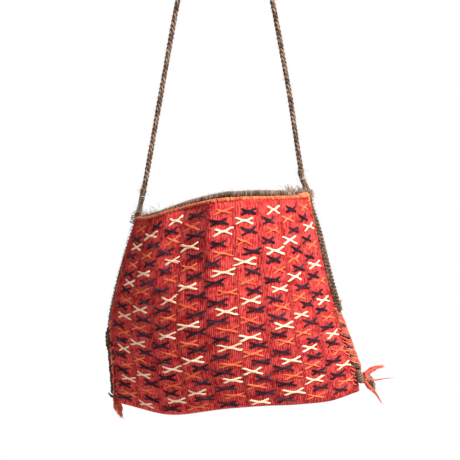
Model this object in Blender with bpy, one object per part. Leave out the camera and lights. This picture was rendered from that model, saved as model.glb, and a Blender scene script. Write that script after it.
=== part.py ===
"""Carpet shoulder bag: one folded strip of thick woven cloth, sewn up at its sides, on a twisted strap.

Metres, +Z up. The bag hangs. The origin is the inner side of the strap at its highest point, where a
shoulder or a peg carries it. The bag's front faces -Y and its width runs along X.
"""
import math

import bmesh
import bpy
from mathutils import Vector

COLLECTION_NAME = "carpet_shoulder_bag"
SEAT_GAP = 0.0003

# Cloth: a strip folded at the bottom. "Height" values are Z in the hanging bag. Rises run in even steps
# from the left seam to the right one, and sways from the fold up to the mouth.
CLOTH_THICKNESS = 0.003
MOUTH_WIDTH = 0.328
BOTTOM_WIDTH = 0.494
MOUTH_SHIFT = -0.005
BOTTOM_SHIFT = 0.018
SIDE_BOW = 0.011
SIDE_FLARE = 0.009
RIGHT_SWAYS = [0.0, 0.0085, 0.0095, 0.0065, 0.0015, 0.0, 0.0, 0.0, 0.0]
LEFT_SWAYS = [-0.0115, -0.0165, -0.013, -0.0045, 0.0015, 0.001, 0.0, 0.0, 0.0]
MOUTH_WRAP_DEG = 55.0
BOTTOM_WRAP_DEG = 31.0
LIP_HEIGHT = -0.551
FOLD_HEIGHT = -0.9465
LIP_RISES = [-0.033, -0.032, -0.021, -0.009, 0.0, 0.003, 0.005, 0.007, 0.012]
FOLD_RISES = [-0.001, -0.007, -0.0145, -0.0075, 0.002, 0.005, 0.0045, 0.007, 0.018]
BACK_LIP_STAND = 0.012
SEAM_DEPTH = 0.046
CURL_UNDER = 0.022
SEAM_LAYER_GAP = 0.0006
MOUTH_CORNER_GAP = 0.006
FOLD_SPREAD = 0.026
BELLY_SPREAD = 0.030
MOUTH_SPREAD = 0.036
ROW_CROWDING = 0.14
CREASE_DEPTH = 0.0155
CREASE_ACROSS = -0.35
CREASE_WIDTH = 0.15
CREASE_START = 0.50

# Woven rows and columns of crossed motifs on the front.
COLUMNS = 9
ROWS = 22
SIDE_MARGIN = 0.04
PATTERN_START = 0.012
PATTERN_END = 0.965
BACK_ROWS = 9

# A motif is two crossed yarns. Its width and height are shares of its column and row.
MOTIF_WIDTH = 0.70
MOTIF_HEIGHT = 0.50
MOTIF_YARN = 0.0044
MOTIF_RELIEF = 0.0018
MOTIF_ZIGZAG = 0.08
CORNER_SIGNS = [(1.0, 1.0), (-1.0, 1.0), (-1.0, -1.0), (1.0, -1.0)]

# Overcast edges: wool wrapped over the cloth's edge, a U in section.
LIP_REACH = 0.5
LIP_GRIP = 0.008
LIP_CROWN = 0.0035
LIP_HALF_THICKNESS = 0.0036
WRAP_GRIP = 0.007
WRAP_CROWN = 0.009
WRAP_HALF_THICKNESS = 0.0068
SLOT_SLACK = 0.0004

# Sewn sides: a plaited braid above, alternate coral and brown wraps below.
BRAID_DIAMETER = 0.012
BRAID_STRAND = 0.0062
BRAID_DIP = 0.0014
BRAID_TURN = 0.033
BRAID_STATIONS_A_TURN = 9
WRAP_TOP = 0.45
RIGHT_WRAP_BOTTOM = 0.12
LEFT_WRAP_BOTTOM = 0.07
WRAP_PAIRS = 6
CORAL_SHARE = 0.62

# Corner knots and tassels.
KNOT_WIDTH = 0.014
KNOT_LENGTH = 0.028
COLLAR_WIDTH = 0.005
COLLAR_DEPTH = 0.016
COLLAR_LENGTH = 0.024
RIGHT_TASSEL_DROP_DEG = 28.0
LEFT_TASSEL_DROP_DEG = 95.0

# Strap: a twisted rope with a frayed root at each corner.
STRAP_DIAMETER = 0.011
ROOT_DIAMETER = 0.014
ROOT_WAIST = 0.35
ROOT_STATIONS = 6
STRAP_POINTS = [
    (0.152, 0.039, -0.495),
    (0.146, 0.037, -0.459),
    (0.139, 0.033, -0.418),
    (0.126, 0.028, -0.350),
    (0.112, 0.021, -0.275),
    (0.096, 0.013, -0.193),
    (0.081, 0.006, -0.125),
    (0.070, 0.002, -0.080),
    (0.058, 0.0, -0.044),
    (0.036, 0.0, -0.010),
    (0.0, 0.0, 0.0055),
    (-0.036, 0.0, -0.010),
    (-0.058, 0.0, -0.044),
    (-0.070, 0.002, -0.080),
    (-0.081, 0.006, -0.125),
    (-0.097, 0.013, -0.205),
    (-0.113, 0.021, -0.290),
    (-0.128, 0.028, -0.370),
    (-0.143, 0.035, -0.450),
    (-0.152, 0.041, -0.498),
    (-0.159, 0.046, -0.530),
]
STRAP_STATIONS = 48

RED = (0.72, 0.05, 0.06, 1.0)
ORANGE = (0.82, 0.18, 0.07, 1.0)
CORAL = (0.80, 0.16, 0.11, 1.0)
BROWN = (0.19, 0.11, 0.08, 1.0)
WOOL_ROUGHNESS = 0.9

# Each tuft: name, colour, thickness, then its route as steps outward, forward and up from the collar.
STRAND_STATIONS = 6
STEM_LENGTH = 0.002
RIGHT_STRANDS = [
    (
        "upper_tuft", CORAL, 0.008,
        [(0.0, -0.001, 0.0055), (0.007, 0.002, 0.014), (0.0155, 0.009, 0.0225), (0.0255, 0.016, 0.0275)],
    ),
    (
        "brown_tuft", BROWN, 0.007,
        [(0.0, -0.002, -0.003), (0.008, 0.000, -0.006), (0.016, 0.003, -0.0115), (0.0195, 0.006, -0.0215)],
    ),
    (
        "thin_strand", CORAL, 0.0035,
        [(0.0, 0.0048, 0.001), (0.010, 0.012, -0.002), (0.024, 0.023, 0.004), (0.040, 0.034, 0.0095)],
    ),
    (
        "lower_strand", CORAL, 0.0045,
        [(0.0, 0.003, -0.008), (0.004, 0.010, -0.0165), (0.013, 0.016, -0.024), (0.031, 0.021, -0.042)],
    ),
]
LEFT_STRANDS = [
    (
        "coral_tuft", CORAL, 0.012,
        [(0.0, 0.0, -0.003), (0.009, 0.001, -0.006), (0.018, 0.002, -0.008), (0.027, 0.003, -0.009)],
    ),
    (
        "brown_tuft", BROWN, 0.006,
        [(0.0, 0.0, 0.0068), (0.003, 0.0, 0.008), (0.006, 0.001, 0.0115), (0.007, 0.002, 0.0165)],
    ),
]


def clear_scene():
    for old in list(bpy.data.objects):
        bpy.data.objects.remove(old, do_unlink=True)


def wool(name, colour):
    """The dyed wool of one sub-part."""
    made = bpy.data.materials.new(name)
    made.use_nodes = True
    shader = made.node_tree.nodes["Principled BSDF"]
    shader.inputs["Base Color"].default_value = colour
    shader.inputs["Roughness"].default_value = WOOL_ROUGHNESS
    shader.inputs["Metallic"].default_value = 0.0
    return made


def add_object(name, data, colour):
    made = bpy.data.objects.new(name, data)
    data.materials.append(wool(name + "_wool", colour))
    bpy.data.collections[COLLECTION_NAME].objects.link(made)
    return made


def mix(low, high, share):
    return low + (high - low) * share


def smooth(share):
    share = max(0.0, min(1.0, share))
    return share * share * (3.0 - 2.0 * share)


def through(values, across):
    """A smooth line through values that stand evenly from across = -1 to across = 1."""
    last = len(values) - 1
    place = max(0.0, min(last, (across + 1.0) / 2.0 * last))
    low = min(int(place), last - 1)
    t = place - low
    before = values[max(low - 1, 0)]
    after = values[min(low + 2, last)]
    start, end = values[low], values[low + 1]
    leave = (end - before) / (2.0 if low > 0 else 1.0)
    arrive = (after - start) / (2.0 if low + 2 <= last else 1.0)
    square, cube = t * t, t * t * t
    return (
        start * (2 * cube - 3 * square + 1)
        + leave * (cube - 2 * square + t)
        + end * (3 * square - 2 * cube)
        + arrive * (cube - square)
    )


def swell(across):
    """How far the two faces part: 1 in the middle, flat to 0 at the side seams."""
    return max(0.0, 1.0 - across * across) ** 2


def sway(across, up):
    """How far the cloth stands aside from the plain outline: nothing in the middle, most at the seams."""
    return across * abs(across) * through(RIGHT_SWAYS if across > 0.0 else LEFT_SWAYS, 2.0 * up - 1.0)


def fold_radius(across):
    return (CLOTH_THICKNESS + SEAM_LAYER_GAP + FOLD_SPREAD * swell(across)) / 2.0


def mid_cloth(across, along):
    """The middle of the cloth. across runs -1 to 1 between the side seams. along runs from -1 at the back
    lip through 0 at the fold to 1 at the front lip, in even shares of the cloth's length."""
    up = abs(along)
    wrap = math.radians(mix(BOTTOM_WRAP_DEG, MOUTH_WRAP_DEG, up))
    middling = 4.0 * up * (1.0 - up)
    half = mix(BOTTOM_WIDTH, MOUTH_WIDTH, up) / 2.0 + SIDE_FLARE * middling
    turned_by = wrap * across
    centre = mix(BOTTOM_SHIFT, MOUTH_SHIFT, up) - SIDE_BOW * middling
    aside = sway(across, up)
    x = centre + half * math.sin(turned_by) / math.sin(wrap) + aside * math.cos(turned_by)
    bulge = half * (math.cos(turned_by) - math.cos(wrap)) / math.sin(wrap) - aside * math.sin(turned_by)
    y = SEAM_DEPTH + CURL_UNDER * max(0.0, 1.0 - up) ** 2.5 - bulge

    radius = fold_radius(across)
    low = FOLD_HEIGHT + through(FOLD_RISES, across) + CLOTH_THICKNESS / 2.0
    top = LIP_HEIGHT + through(LIP_RISES, across)
    if along < 0.0:
        top += BACK_LIP_STAND * (1.0 - across**4)
    turn = math.pi / 2.0 * radius
    straight = top - low - radius
    turned = turn / (turn + straight)
    if up < turned:
        angle = math.pi / 2.0 * up / turned
        apart = radius * math.sin(angle)
        z = low + radius * (1.0 - math.cos(angle))
    else:
        share = (up - turned) / (1.0 - turned)
        belly = BELLY_SPREAD * 4.0 * share * (1.0 - share) + (MOUTH_SPREAD - FOLD_SPREAD) * share
        apart = radius + (belly * swell(across) + MOUTH_CORNER_GAP * share * share) / 2.0
        z = low + radius + straight * mix(share, share * share, ROW_CROWDING)
        if along > 0.0:
            dip = math.exp(-(((across - CREASE_ACROSS) / CREASE_WIDTH) ** 2))
            y += CREASE_DEPTH * dip * smooth((share - CREASE_START) / (1.0 - CREASE_START))
    forward = apart if along > 0.0 else -apart
    return Vector((x + forward * math.sin(turned_by), y - forward * math.cos(turned_by), z))


def cloth_frame(across, along):
    """A point of the cloth's middle with its directions: across, along and outward."""
    step = 0.0004
    place = mid_cloth(across, along)
    side = (mid_cloth(across + step, along) - mid_cloth(across - step, along)).normalized()
    run = (mid_cloth(across, along + step) - mid_cloth(across, along - step)).normalized()
    return place, side, run, side.cross(run).normalized()


def cloth_point(across, along, height):
    place, _, _, outward = cloth_frame(across, along)
    return place + outward * height


def across_lines():
    """The laid-out strip's edges, with its columns' sides and middles between them."""
    edge = 1.0 - SIDE_MARGIN
    halves = 2 * COLUMNS
    return [-1.0] + [mix(-edge, edge, i / halves) for i in range(halves + 1)] + [1.0]


def along_lines():
    front = [mix(PATTERN_START, PATTERN_END, i / ROWS) for i in range(ROWS + 1)] + [1.0]
    back = [mix(PATTERN_START, PATTERN_END, (i / BACK_ROWS) ** 1.5) for i in range(BACK_ROWS + 1)] + [1.0]
    return [-value for value in reversed(back)] + [0.0] + front


def add_motif(bm, sides, shift):
    """Two crossed yarns in one cell of the laid-out strip. They stand out where they cross and run into
    the ground at their ends. The cell's sides run counterclockwise from its right upper corner. Returns
    the ground's faces round the cross."""
    right, high, ground = sides[0][0].co
    left, low, _ = sides[2][0].co
    middle_x, middle_y = (left + right) / 2.0, (low + high) / 2.0
    wide = (mid_cloth(right, middle_y) - mid_cloth(left, middle_y)).length
    tall = (mid_cloth(middle_x, high) - mid_cloth(middle_x, low)).length

    def place(x, y, height=0.0):
        across = middle_x + (x / wide + shift) * (right - left)
        return bm.verts.new((across, middle_y + y / tall * (high - low), ground + height))

    reach_x, reach_y = wide * MOTIF_WIDTH / 2.0, tall * MOTIF_HEIGHT / 2.0
    slope = math.atan2(reach_y, reach_x)
    half = MOTIF_YARN / 2.0
    end_x, end_y = half * math.sin(slope), half * math.cos(slope)
    side_notch, top_notch = half / math.sin(slope), half / math.cos(slope)
    notches = [place(side_notch, 0.0), place(0.0, top_notch), place(-side_notch, 0.0), place(0.0, -top_notch)]
    crossing = place(0.0, 0.0, MOTIF_RELIEF)
    ends = []
    for i, (x, y) in enumerate(CORNER_SIGNS):
        lower = place(x * (reach_x + end_x), y * (reach_y - end_y))
        upper = place(x * (reach_x - end_x), y * (reach_y + end_y))
        first, second = (upper, lower) if i % 2 else (lower, upper)
        bm.faces.new((notches[i], first, crossing))
        bm.faces.new((first, second, crossing))
        bm.faces.new((second, notches[(i + 1) % 4], crossing))
        ends.append((first, second))
    around = []
    for i, (first, second) in enumerate(ends):
        after = (i + 1) % 4
        around.append(bm.faces.new((first, sides[i][0], second)))
        around.append(bm.faces.new((*sides[i], ends[after][0], notches[after], second)))
    return around


def add_motifs(bm, grid, faces, lowest_row):
    """A motif in each cell of the front, set a little aside from its column's line, the other way in each
    next row."""
    plain, around = [], []
    for row in range(ROWS):
        under, over = grid[lowest_row + row], grid[lowest_row + row + 1]
        for column in range(COLUMNS):
            left = 1 + 2 * column
            sides = [
                (over[left + 2], over[left + 1], over[left]),
                (over[left], under[left]),
                (under[left], under[left + 1], under[left + 2]),
                (under[left + 2], over[left + 2]),
            ]
            shift = MOTIF_ZIGZAG / 2.0 if (column + row) % 2 else -MOTIF_ZIGZAG / 2.0
            around += add_motif(bm, sides, shift)
            plain += faces[lowest_row + row][left : left + 2]
    bmesh.ops.triangulate(bm, faces=around, quad_method="BEAUTY", ngon_method="BEAUTY")
    bmesh.ops.delete(bm, geom=plain, context="FACES")


def make_cloth():
    """The strip is laid out flat as a thick grid with its motifs, then folded into the bag."""
    columns, rows = across_lines(), along_lines()
    bm = bmesh.new()
    grid = [[bm.verts.new((x, y, CLOTH_THICKNESS / 2.0)) for x in columns] for y in rows]
    faces = []
    for low, high in zip(grid, grid[1:]):
        faces.append([bm.faces.new((low[i], low[i + 1], high[i + 1], high[i])) for i in range(len(low) - 1)])
    inner = bmesh.ops.extrude_face_region(bm, geom=bm.faces[:], use_keep_orig=True)
    for item in inner["geom"]:
        if isinstance(item, bmesh.types.BMVert):
            item.co.z = -CLOTH_THICKNESS / 2.0
    add_motifs(bm, grid, faces, rows.index(PATTERN_START))
    bm.normal_update()
    bmesh.ops.recalc_face_normals(bm, faces=bm.faces[:])
    for vert in bm.verts:
        vert.co = cloth_point(vert.co.x, vert.co.y, vert.co.z)
    mesh = bpy.data.meshes.new("bag_cloth")
    bm.to_mesh(mesh)
    bm.free()
    mesh.shade_smooth()
    mesh.set_sharp_from_angle(angle=math.radians(25.0))
    return add_object("bag_cloth", mesh, RED)


def loft(name, sections, colour):
    """One closed skin over rings of points, with a flat cap at each end."""
    bm = bmesh.new()
    rings = [[bm.verts.new(point) for point in section] for section in sections]
    count = len(rings[0])
    for low, high in zip(rings, rings[1:]):
        for i in range(count):
            j = (i + 1) % count
            bm.faces.new((low[i], low[j], high[j], high[i]))
    bm.faces.new(list(reversed(rings[0])))
    bm.faces.new(rings[-1])
    bm.normal_update()
    bmesh.ops.recalc_face_normals(bm, faces=bm.faces[:])
    mesh = bpy.data.meshes.new(name)
    bm.to_mesh(mesh)
    bm.free()
    mesh.shade_smooth()
    mesh.set_sharp_from_angle(angle=math.radians(50.0))
    return add_object(name, mesh, colour)


def u_section(place, outward, normal, inside, grip, crown, half):
    """An overcast edge cut across: a slot for cloth that is 2 * inside thick, and a rounded outer side."""
    roof = SEAT_GAP + SLOT_SLACK
    slot = inside + roof
    outline = [
        (-grip, slot),
        (roof, slot),
        (roof, -slot),
        (-grip, -slot),
        (-grip, -mix(slot, half, 0.6)),
        (-grip * 0.5, -half),
        (crown * 0.3, -half * 0.92),
        (crown, -half * 0.45),
        (crown, half * 0.45),
        (crown * 0.3, half * 0.92),
        (-grip * 0.5, half),
        (-grip, mix(slot, half, 0.6)),
    ]
    return [place + outward * p + normal * q for p, q in outline]


def make_lip(name, along, colour):
    """Wool overcast along one lip of the mouth, from corner to corner."""
    frames = [cloth_frame(across, along) for across in across_lines()]
    for end, inner in ((0, 1), (-1, -2)):
        frames[end] = [near.lerp(far, LIP_REACH) for near, far in zip(frames[inner], frames[end])]
    sections = []
    for place, _, run, outward in frames:
        up = run if along > 0.0 else -run
        sections.append(
            u_section(
                place, up, outward, CLOTH_THICKNESS / 2.0, LIP_GRIP, LIP_CROWN, LIP_HALF_THICKNESS
            )
        )
    return loft(name, sections, colour)


def seam_frame(side, up):
    """The side seam between the two layers: its point, outward direction, upward direction and normal."""
    step = 0.002
    front, across, _, _ = cloth_frame(side, up)
    back = mid_cloth(side, -up)
    higher = (mid_cloth(side, up + step) + mid_cloth(side, -up - step)) / 2.0
    middle = (front + back) / 2.0
    rise = (higher - middle).normalized()
    normal = rise.cross(across * side).normalized()
    outward = normal.cross(rise)
    return middle, outward, rise, normal, (front - back).length / 2.0 + CLOTH_THICKNESS / 2.0


def plait_reach(angle, phase):
    """How far three plaited strands reach from their middle, at one angle of the plait's section. Each
    strand swings from side to side on a figure of eight, a third of a turn after the one before."""
    radius = BRAID_STRAND / 2.0
    swing = BRAID_DIAMETER / 2.0 - radius
    reach = radius
    for k in range(3):
        turn = phase + 2.0 * math.pi * k / 3.0
        x, y = swing * math.sin(turn), BRAID_DIP * math.sin(2.0 * turn)
        aside = x * math.sin(angle) - y * math.cos(angle)
        if abs(aside) < radius:
            reach = max(reach, x * math.cos(angle) + y * math.sin(angle) + math.sqrt(radius**2 - aside**2))
    return reach


def make_braid(name, side):
    """A plaited cord sewn along the upper part of a side seam."""
    length = (seam_frame(side, 1.0)[0] - seam_frame(side, WRAP_TOP)[0]).length
    turns = length / BRAID_TURN
    stations = max(BRAID_STATIONS_A_TURN, round(turns * BRAID_STATIONS_A_TURN))
    lowest = WRAP_TOP + SEAT_GAP / length * (1.0 - WRAP_TOP)
    sections = []
    for i in range(stations + 1):
        share = i / stations
        middle, outward, _, normal, _ = seam_frame(side, mix(lowest, 1.0, share))
        centre = middle + outward * (BRAID_DIAMETER / 2.0 + SEAT_GAP)
        ring = []
        for k in range(8):
            angle = 2.0 * math.pi * k / 8.0
            reach = plait_reach(angle, 2.0 * math.pi * share * turns)
            ring.append(centre + outward * reach * math.cos(angle) + normal * reach * math.sin(angle))
        sections.append(ring)
    return loft(name, sections, BROWN)


def make_wrap(name, side, low, high, colour):
    """One turn of coloured wool wrapped over both layers of the side seam."""
    sections = []
    for share, full in ((0.0, 0.86), (0.5, 1.0), (1.0, 0.86)):
        middle, outward, _, normal, inside = seam_frame(side, mix(low, high, share))
        sections.append(
            u_section(
                middle, outward, normal, inside, WRAP_GRIP, WRAP_CROWN * full, WRAP_HALF_THICKNESS * full
            )
        )
    return loft(name, sections, colour)


def make_side_wraps(word, side, bottom):
    """Pairs of a short brown wrap and a longer coral one above it."""
    pitch = (WRAP_TOP - bottom) / WRAP_PAIRS
    gap = SEAT_GAP * (WRAP_TOP - bottom) / (mid_cloth(side, WRAP_TOP) - mid_cloth(side, bottom)).length
    for i in range(WRAP_PAIRS):
        low = bottom + pitch * i
        change = low + pitch * (1.0 - CORAL_SHARE)
        make_wrap(f"{word}_brown_wrap_{i + 1}", side, low + gap / 2.0, change - gap / 2.0, BROWN)
        make_wrap(f"{word}_coral_wrap_{i + 1}", side, change + gap / 2.0, low + pitch - gap / 2.0, CORAL)


def oval(name, centre, axes, sizes, colour):
    """A rounded lump with its three axes and full sizes."""
    bm = bmesh.new()
    bmesh.ops.create_uvsphere(bm, u_segments=12, v_segments=8, radius=0.5)
    for vert in bm.verts:
        local = vert.co.copy()
        vert.co = centre + sum((axis * size * part for axis, size, part in zip(axes, sizes, local)), Vector())
    bm.normal_update()
    bmesh.ops.recalc_face_normals(bm, faces=bm.faces[:])
    mesh = bpy.data.meshes.new(name)
    bm.to_mesh(mesh)
    bm.free()
    mesh.shade_smooth()
    return add_object(name, mesh, colour)


def strand(name, points, radii, colour):
    """A tuft of yarn: a round curve that tapers along its points."""
    curve = bpy.data.curves.new(name, "CURVE")
    curve.dimensions = "3D"
    curve.bevel_depth = 1.0
    curve.bevel_resolution = 2
    curve.use_fill_caps = True
    spline = curve.splines.new("POLY")
    spline.points.add(len(points) - 1)
    for item, point, radius in zip(spline.points, points, radii):
        item.co = (*point, 1.0)
        item.radius = radius
    return add_object(name, curve, colour)


def curved(points, stations):
    """Even steps in number along one smooth curve through the points."""
    made = []
    last = len(points) - 1
    for i in range(stations + 1):
        place = i / stations * last
        made.append(Vector([through([p[k] for p in points], place / last * 2.0 - 1.0) for k in range(3)]))
    return made


def make_collar(name, base, axes):
    """The wool bound round a tassel's base: a short oval drum with rounded rims."""
    away, forward, above = axes
    sections = []
    for share, full in ((0.0, 0.84), (0.2, 1.0), (0.8, 1.0), (1.0, 0.84)):
        ring = []
        for k in range(14):
            angle = 2.0 * math.pi * k / 14.0
            deep = forward * math.cos(angle) * COLLAR_DEPTH / 2.0
            tall = above * math.sin(angle) * COLLAR_LENGTH / 2.0
            ring.append(base + away * COLLAR_WIDTH * share + (deep + tall) * full)
        sections.append(ring)
    return loft(name, sections, CORAL)


def make_tassel(word, side, bottom, drop, strands):
    """A brown knot and a coral collar on a bottom corner, with tufts that start at the collar. The tassel
    is turned down from straight outward by the drop in degrees."""
    middle, outward, rise, normal, _ = seam_frame(side, bottom)
    forward = normal * -side
    centre = middle + outward * (KNOT_WIDTH / 2.0 + SEAT_GAP) - rise * (KNOT_LENGTH / 2.0 + SEAT_GAP)
    sizes = (KNOT_WIDTH, KNOT_WIDTH, KNOT_LENGTH)
    oval(f"{word}_corner_knot", centre, (outward, forward, rise), sizes, BROWN)
    turn = math.radians(drop)
    away = outward * math.cos(turn) - rise * math.sin(turn)
    above = rise * math.cos(turn) + outward * math.sin(turn)
    reach = math.hypot(KNOT_WIDTH * math.cos(turn), KNOT_LENGTH * math.sin(turn)) / 2.0
    base = centre + away * (reach + SEAT_GAP)
    make_collar(f"{word}_tassel_collar", base, (away, forward, above))
    start = base + away * (COLLAR_WIDTH + SEAT_GAP)
    for label, colour, thick, points in strands:
        route = [start + away * out + forward * front + above * up for out, front, up in points]
        stem = route[0]
        route[0] = stem + away * STEM_LENGTH
        centres = [stem] + curved(route, STRAND_STATIONS)
        last = len(centres) - 1
        radii = [thick / 2.0 * (1.0 - 0.8 * (i / last) ** 1.5) for i in range(last + 1)]
        strand(f"{word}_{label}", centres, radii, colour)


def make_root(word, side, strap_end, strap_next):
    """The frayed root where the rope comes out of the top corner. It leaves the braid's end squarely and
    turns into the strap's direction."""
    middle, outward, rise, _, _ = seam_frame(side, 1.0)
    base = middle + outward * (ROOT_DIAMETER / 2.0 + SEAT_GAP) + rise * SEAT_GAP
    leaves = (Vector(strap_next) - Vector(strap_end)).normalized()
    tip = Vector(strap_end) - leaves * SEAT_GAP
    bend = [base + rise * STEM_LENGTH, tip - leaves * STEM_LENGTH]
    points = [base] + [bend[0].lerp(bend[1], i / ROOT_STATIONS) for i in range(ROOT_STATIONS + 1)] + [tip]
    last = len(points) - 1
    waist = [1.0 - ROOT_WAIST * math.sin(math.pi * i / last) ** 4 for i in range(last + 1)]
    ends = [0.8 + 0.2 * math.sin(math.pi * i / last) ** 0.5 for i in range(last + 1)]
    strand(f"{word}_strap_root", points, [ROOT_DIAMETER / 2.0 * w * e for w, e in zip(waist, ends)], BROWN)


def make_strap():
    stations = curved(STRAP_POINTS, STRAP_STATIONS)
    strand("strap_rope", stations, [STRAP_DIAMETER / 2.0] * len(stations), BROWN)


def main():
    clear_scene()
    collection = bpy.data.collections.new(COLLECTION_NAME)
    bpy.context.scene.collection.children.link(collection)
    make_cloth()
    make_lip("front_lip_selvedge", 1.0, ORANGE)
    make_lip("back_lip_selvedge", -1.0, BROWN)
    for word, side, bottom in (("right", 1.0, RIGHT_WRAP_BOTTOM), ("left", -1.0, LEFT_WRAP_BOTTOM)):
        make_braid(f"{word}_side_braid", side)
        make_side_wraps(word, side, bottom)
    make_tassel("right", 1.0, RIGHT_WRAP_BOTTOM, RIGHT_TASSEL_DROP_DEG, RIGHT_STRANDS)
    make_tassel("left", -1.0, LEFT_WRAP_BOTTOM, LEFT_TASSEL_DROP_DEG, LEFT_STRANDS)
    make_root("right", 1.0, STRAP_POINTS[0], STRAP_POINTS[1])
    make_root("left", -1.0, STRAP_POINTS[-1], STRAP_POINTS[-2])
    make_strap()


main()
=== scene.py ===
# Carpet shoulder bag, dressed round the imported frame. Metres, +Z up, the front faces -Y.
import math

import bmesh
import bpy
import numpy as np
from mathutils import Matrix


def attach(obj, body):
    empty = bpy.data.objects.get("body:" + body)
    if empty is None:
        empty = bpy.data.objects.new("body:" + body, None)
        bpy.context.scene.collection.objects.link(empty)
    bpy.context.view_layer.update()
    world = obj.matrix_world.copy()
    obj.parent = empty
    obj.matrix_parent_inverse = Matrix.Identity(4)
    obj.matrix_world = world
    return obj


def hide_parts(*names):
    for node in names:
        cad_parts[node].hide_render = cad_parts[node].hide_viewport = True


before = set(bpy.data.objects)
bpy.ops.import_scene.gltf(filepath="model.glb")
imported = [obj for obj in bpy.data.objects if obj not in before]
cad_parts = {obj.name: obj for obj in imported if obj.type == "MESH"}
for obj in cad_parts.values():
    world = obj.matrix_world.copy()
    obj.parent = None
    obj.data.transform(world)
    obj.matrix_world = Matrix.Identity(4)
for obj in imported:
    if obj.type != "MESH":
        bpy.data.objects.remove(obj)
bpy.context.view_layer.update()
chance = np.random.default_rng(7)
sides = {"right": 1.0, "left": -1.0}
print("frame loaded with", len(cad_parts), "nodes")


# Camera, floor and light

view = {
    "aside": 0.010,
    "height": -0.607,
    "distance": 1.6,
    "widthSeen": 0.874,
    "sensor": 36.0,
    "floorHeight": -1.35,
    "floorSize": 24.0,
    "floorColour": (0.62, 0.615, 0.605, 1.0),
    "floorRoughness": 0.9,
    "floorShine": 0.1,
    "shadowRadius": 1.0,     # the floor shows shade inside this radius and turns white round it
    "shadowCore": 0.3,       # share of that radius inside which the shade is fullest
    "leastWhite": 0.35,
    "white": (1.0, 1.0, 1.0, 1.0),
    "ambient": 0.25,
    "ambientColour": (1.0, 0.98, 0.96, 1.0),
}
lamps = {   # place, what it points at, size, power and colour
    "key": ((1.30, -1.09, 1.24), (0.05, 0.0, -0.62), 0.34, 149.0, (1.0, 0.975, 0.94)),
    "fill": ((-1.7, -1.5, -0.3), (0.0, 0.0, -0.75), 1.6, 9.0, (0.97, 0.98, 1.0)),
    "top": ((0.1, 0.6, 1.5), (0.0, 0.0, -0.6), 1.2, 16.0, (1.0, 1.0, 1.0)),
    "behind": ((-0.6, 2.0, -0.2), (0.0, 0.0, -0.7), 1.4, 14.0, (1.0, 0.99, 0.97)),
}


def addObject(name, data):
    made = bpy.data.objects.new(name, data)
    bpy.context.scene.collection.objects.link(made)
    return made


def meshFrom(bm, name):
    mesh = bpy.data.meshes.new(name)
    bm.to_mesh(mesh)
    bm.free()
    return mesh


def getPoints(mesh):
    flat = np.zeros(len(mesh.vertices) * 3, np.float32)
    mesh.vertices.foreach_get("co", flat)
    return flat.reshape(-1, 3).astype(float)


def setPoints(mesh, points):
    mesh.vertices.foreach_set("co", points.astype(np.float32).ravel())


def addNode(tree, kind, settings=None, **inputs):
    # one shader node: inputs are numbers, colours or the sockets that feed them
    made = tree.nodes.new("ShaderNode" + kind)
    for key, value in (settings or {}).items():
        setattr(made, key, value)
    for key, value in inputs.items():
        place = int(key[1:]) if key[0] == "i" and key[1:].isdigit() else key.replace("_", " ")
        if isinstance(value, bpy.types.NodeSocket):
            tree.links.new(value, made.inputs[place])
        else:
            made.inputs[place].default_value = value
    return made


def computed(tree, operation, *values):
    inputs = {f"i{k}": value for k, value in enumerate(values)}
    return addNode(tree, "Math", {"operation": operation}, **inputs).outputs[0]


def ranged(tree, value, start, end, low, high=1.0, kind="SMOOTHSTEP"):
    # start becomes low and end becomes high
    return addNode(tree, "MapRange", {"interpolation_type": kind}, Value=value,
                   From_Min=start, From_Max=end, To_Min=low, To_Max=high).outputs[0]


def lookAt(item, target):
    way = np.array(target, float) - np.array(item.location)
    item.rotation_euler = (
        math.atan2(math.hypot(way[0], way[1]), -way[2]),
        0.0,
        math.atan2(way[1], way[0]) - math.pi / 2,
    )


def addCamera():
    data = bpy.data.cameras.new("camera")
    data.sensor_width = view["sensor"]
    data.lens = view["sensor"] * view["distance"] / view["widthSeen"]
    camera = addObject("camera", data)
    camera.location = (view["aside"], -view["distance"], view["height"])
    camera.rotation_euler = (math.pi / 2, 0.0, 0.0)
    bpy.context.scene.camera = camera


def addLamps():
    for name, (place, target, size, power, colour) in lamps.items():
        data = bpy.data.lights.new(name, "AREA")
        data.shape = "DISK"
        data.size = size
        data.energy = power
        data.color = colour
        lamp = addObject(name, data)
        lamp.location = place
        lookAt(lamp, target)


def addWorld():
    # the camera sees plain white, and the bag gets softer light from it
    world = bpy.data.worlds.new("studio")
    bpy.context.scene.world = world
    world.use_nodes = True
    tree = world.node_tree
    tree.nodes.clear()
    rays = addNode(tree, "LightPath").outputs
    seen = computed(tree, "MAXIMUM", rays["Is Camera Ray"], rays["Is Glossy Ray"])
    soft = addNode(tree, "Background", Color=view["ambientColour"], Strength=view["ambient"])
    white = addNode(tree, "Background", Color=view["white"], Strength=1.0)
    both = addNode(tree, "MixShader", i0=seen, i1=soft.outputs[0], i2=white.outputs[0])
    addNode(tree, "OutputWorld", Surface=both.outputs[0])


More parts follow.
